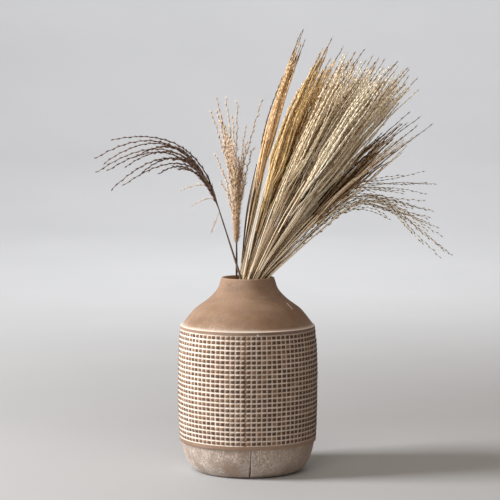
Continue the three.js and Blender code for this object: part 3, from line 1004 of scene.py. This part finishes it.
def upright_branches(at, count, rng):
    """The long branches, then shorter ones that fill the middle of the plume."""
    node_height = UPRIGHT["node"]
    paths = []
    for above, reach, tip in UPRIGHT["branches"]:
        start = node_height + above
        paths.append(curved(at(start), at(start + reach), tip, count, rng, 0.3 * MM))
    spread_x, spread_y = UPRIGHT["inner_spread"]
    # Steps of the golden ratio and golden angle keep these tips apart.
    for i in range(UPRIGHT["inner_count"]):
        rise = (i * 0.618) % 1
        out = 2 * ((i * 0.382) % 1) - 1
        top = UPRIGHT["inner_lowest"] + UPRIGHT["inner_rise"] * rise
        x = UPRIGHT["inner_x"] + spread_x * out * (0.6 + 0.4 * rise)
        tip = (x, UPRIGHT["y"] + spread_y * math.cos(i * 2.4), top)
        bend = node_height + 0.5 * (top - node_height)
        paths.append(curved(at(node_height + 3 * (i % 6)), at(bend), tip, count, rng, 0.3 * MM))
    return np.stack(paths)


def make_upright_stem(culm_material, plume_material):
    """The pale stem with an open plume that stands upright at the left of the mouth."""
    rng = np.random.default_rng(52)

    def at(height):
        return np.array([UPRIGHT["x"], UPRIGHT["y"], height]) * MM

    shape = Shape()
    route = Route([at((FLOOR_TOP + STEM_GAP) / MM), at(UPRIGHT["node"] + 70)])
    add_culm(shape, route, route.length, rng, radius=1.4 * MM)
    paths = upright_branches(at, 38, rng)
    t = np.linspace(0, 1, 38)
    paths[..., 0] += waves(rng, len(paths), t[None], 0.8) * 1.6 * MM * ease(t, 0.15, 0.7)
    add_branches(shape, paths, 0.7, 0.3, 0.3)
    own = rng.uniform(0.0, 0.35, (len(paths), 1))
    add_spikelets(shape, paths, 6.0 * MM, rng, UPRIGHT_SPIKELETS, own)
    stem = {"name": "upright_stem", "kind": "blush"}
    finish_stem(shape, stem, plume_material, culm_material, "upright_stem")


# ---- camera, light and floor
CAMERA_PLACE = (3.4 * MM, -2.83, 0.55322)
CAMERA_DIP = 0.0745         # radians below level
CAMERA_SENSOR = 36          # millimetres, as for the lens
CAMERA_LENS = 131.95


def make_camera():
    data = bpy.data.cameras.new("camera")
    data.sensor_width = CAMERA_SENSOR
    data.lens = CAMERA_LENS
    camera = bpy.data.objects.new("camera", data)
    camera.location = CAMERA_PLACE
    camera.rotation_euler = (math.pi / 2 - CAMERA_DIP, 0, 0)
    bpy.context.scene.collection.objects.link(camera)
    bpy.context.scene.camera = camera


def area_light(name, place, aim, size, power, colour):
    """A square soft light at place that shines towards aim; power is in watts."""
    data = bpy.data.lights.new(name, "AREA")
    data.shape = "SQUARE"
    data.size = size
    data.energy = power
    data.color = colour
    light = bpy.data.objects.new(name, data)
    light.location = place
    light.rotation_mode = "QUATERNION"
    light.rotation_quaternion = (Vector(place) - Vector(aim)).to_track_quat("Z", "Y")
    light.visible_camera = False
    bpy.context.scene.collection.objects.link(light)


FLOOR_SIDES = 64
FLOOR_OUTLINE = [       # radius and height in metres: flat, then curving up far away
    (1.2, 0.0), (3.0, 0.0), (4.5, 0.08), (5.6, 0.35), (6.3, 0.85), (6.7, 1.5), (6.9, 2.4), (7.0, 4.5),
]


def make_floor():
    """A plain pale floor that curves up all round into a backdrop."""
    turn = np.arange(FLOOR_SIDES) * 2 * np.pi / FLOOR_SIDES
    rings = [around(turn, radius, height) for radius, height in FLOOR_OUTLINE]
    points = np.concatenate([*rings, [(0, 0, 0)]])
    i = np.arange(FLOOR_SIDES)
    j = (i + 1) % FLOOR_SIDES
    ring = np.arange(len(rings) - 1)[:, None] * FLOOR_SIDES
    quads = np.stack([ring + i, ring + j, ring + FLOOR_SIDES + j, ring + FLOOR_SIDES + i], -1)[..., ::-1]
    centre = np.stack([np.full(FLOOR_SIDES, len(points) - 1), i, j], -1)
    shape = Shape()
    shape.add(points, [quads.reshape(-1, 4), centre])
    material, tree, shader = new_material("floor")
    cloud = noise(tree, 2.0, detail=3)
    colour = mix(tree, cloud, (0.45, 0.467, 0.49, 1), (0.495, 0.512, 0.535, 1))
    tree.links.new(colour, shader.inputs["Base Color"])
    shader.inputs["Roughness"].default_value = 0.7
    shape.build("floor", [material])


def make_lights():
    """A soft key light from the left, a weak fill from the front and a light on the backdrop."""
    area_light("key", (-2.75, -0.42, 1.62), (0, 0, 0.32), 1.1, 148, (1.0, 0.985, 0.965))
    area_light("fill", (-0.7, -2.8, 2.4), (0, 0, 0.4), 1.6, 27, (1.0, 0.93, 0.86))
    area_light("backdrop", (0, 2.4, 3.4), (0, 6.8, 0.9), 2.5, 195, (0.97, 0.975, 0.985))
    world = bpy.data.worlds.new("world")
    world.use_nodes = True
    warm_room = world.node_tree.nodes["Background"]
    warm_room.inputs["Color"].default_value = (1.0, 0.80, 0.62, 1)
    warm_room.inputs["Strength"].default_value = 0.35
    bpy.context.scene.world = world
    bpy.context.scene.view_settings.view_transform = "Standard"


# ---- the scene
GRASS_COLOURS = {       # dark, middle and light
    # The dark ends are partly painted shade for the gaps between straws; the near-black culm dark is
    # painted shade of the gaps at the mouth.
    "culm": ((0.025, 0.012, 0.005), (0.58, 0.37, 0.19), (1.0, 0.86, 0.655)),
    "dark_culm": ((0.03, 0.02, 0.015), (0.08, 0.055, 0.04), (0.16, 0.11, 0.08)),
    "tan": ((0.075, 0.035, 0.011), (0.47, 0.285, 0.13), (0.96, 0.70, 0.42)),
    "ochre": ((0.10, 0.047, 0.014), (0.64, 0.395, 0.16), (0.98, 0.74, 0.40)),
    "straw": ((0.09, 0.042, 0.013), (1.0, 0.685, 0.42), (1.0, 0.87, 0.645)),
    "cream": ((0.10, 0.05, 0.018), (1.0, 0.765, 0.52), (1.0, 0.90, 0.71)),
    "brown": ((0.04, 0.018, 0.006), (0.50, 0.30, 0.15), (1.0, 0.79, 0.55)),
    "drooping": ((0.04, 0.022, 0.008), (0.54, 0.37, 0.20), (1.0, 0.85, 0.62)),
    "purple": ((0.022, 0.013, 0.010), (0.21, 0.13, 0.095), (0.62, 0.46, 0.35)),
    "blush": ((0.07, 0.035, 0.018), (0.60, 0.40, 0.25), (1.0, 0.84, 0.64)),
}

make_camera()
make_floor()
make_lights()
make_vase()
grasses = {name: grass_material(name, *colours) for name, colours in GRASS_COLOURS.items()}
for stem in bunch_stems():
    make_stem = make_drooping_stem if stem["droops"] else make_dense_stem
    make_stem(stem, grasses["culm"], grasses[stem["kind"]])
make_arching_stem(grasses["dark_culm"], grasses["purple"], grasses["drooping"])
make_upright_stem(grasses["dark_culm"], grasses["blush"])
